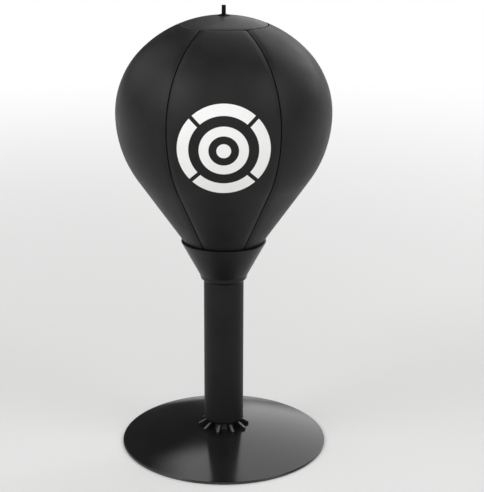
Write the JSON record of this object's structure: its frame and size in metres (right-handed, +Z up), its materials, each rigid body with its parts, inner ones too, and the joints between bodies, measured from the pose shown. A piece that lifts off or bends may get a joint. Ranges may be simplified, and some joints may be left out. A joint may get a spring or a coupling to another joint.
{
  "type": "desktop punching ball",
  "caption": "Free-standing desk punching ball: a leatherette ball in a funnel cup on a sprung, sleeved post that sways on a domed suction-cup foot.",
  "frame": {"origin": "centre of the foot's underside, on the surface that it stands on", "axes": "+Z up along the post, the printed front gore faces -Y, +X to the right seen from the front"},
  "size_m": [0.1904, 0.1904, 0.4074],
  "materials": {
    "foot_rubber": "glossy moulded soft black foot",
    "sleeve_rubber": "satin black rubber tube",
    "cup_plastic": "satin black moulded plastic",
    "leatherette": "satin black fine-grained leatherette, printed in white on the front gore",
    "bladder_rubber": "plain thin rubber",
    "seat_plastic": "dark moulded plastic",
    "steel": "bright zinc-plated steel",
    "valve_metal": "black lacquered metal"
  },
  "bodies": {
    "foot": {"suction_cup": "foot_rubber", "anchor_stud": "steel", "lower_spring_seat": "seat_plastic", "base_washer": "steel", "base_nut": "steel"},
    "post": {"coil_spring": "steel", "post_sleeve": "sleeve_rubber"},
    "head": {"upper_spring_seat": "seat_plastic", "head_washer": "steel", "head_nut": "steel", "bag_cup": "cup_plastic", "head_bolt": "steel", "anchor_plate": "steel", "bottom_panel": "leatherette", "panel_1": "leatherette", "panel_2": "leatherette", "panel_3": "leatherette", "panel_4": "leatherette", "panel_5": "leatherette", "panel_6": "leatherette", "top_panel": "leatherette", "bladder": "bladder_rubber", "bladder_valve": "bladder_rubber", "valve_grommet": "valve_metal", "grommet_ring": "valve_metal", "valve_stem": "valve_metal"}
  },
  "joints": [
    {"name": "sway_side", "type": "hinge", "parent": "foot", "child": "post", "pos_m": [0, 0, 0.0685], "axis": [0, 1, 0], "range_deg": [-40, 40], "stiffness_Nm_per_rad": 6, "deforming": ["coil_spring", "post_sleeve"]},
    {"name": "sway_front", "type": "hinge", "parent": "post", "child": "head", "pos_m": [0, 0, 0.1165], "axis": [1, 0, 0], "range_deg": [-40, 40], "stiffness_Nm_per_rad": 6, "deforming": ["coil_spring", "post_sleeve"]}
  ]
}
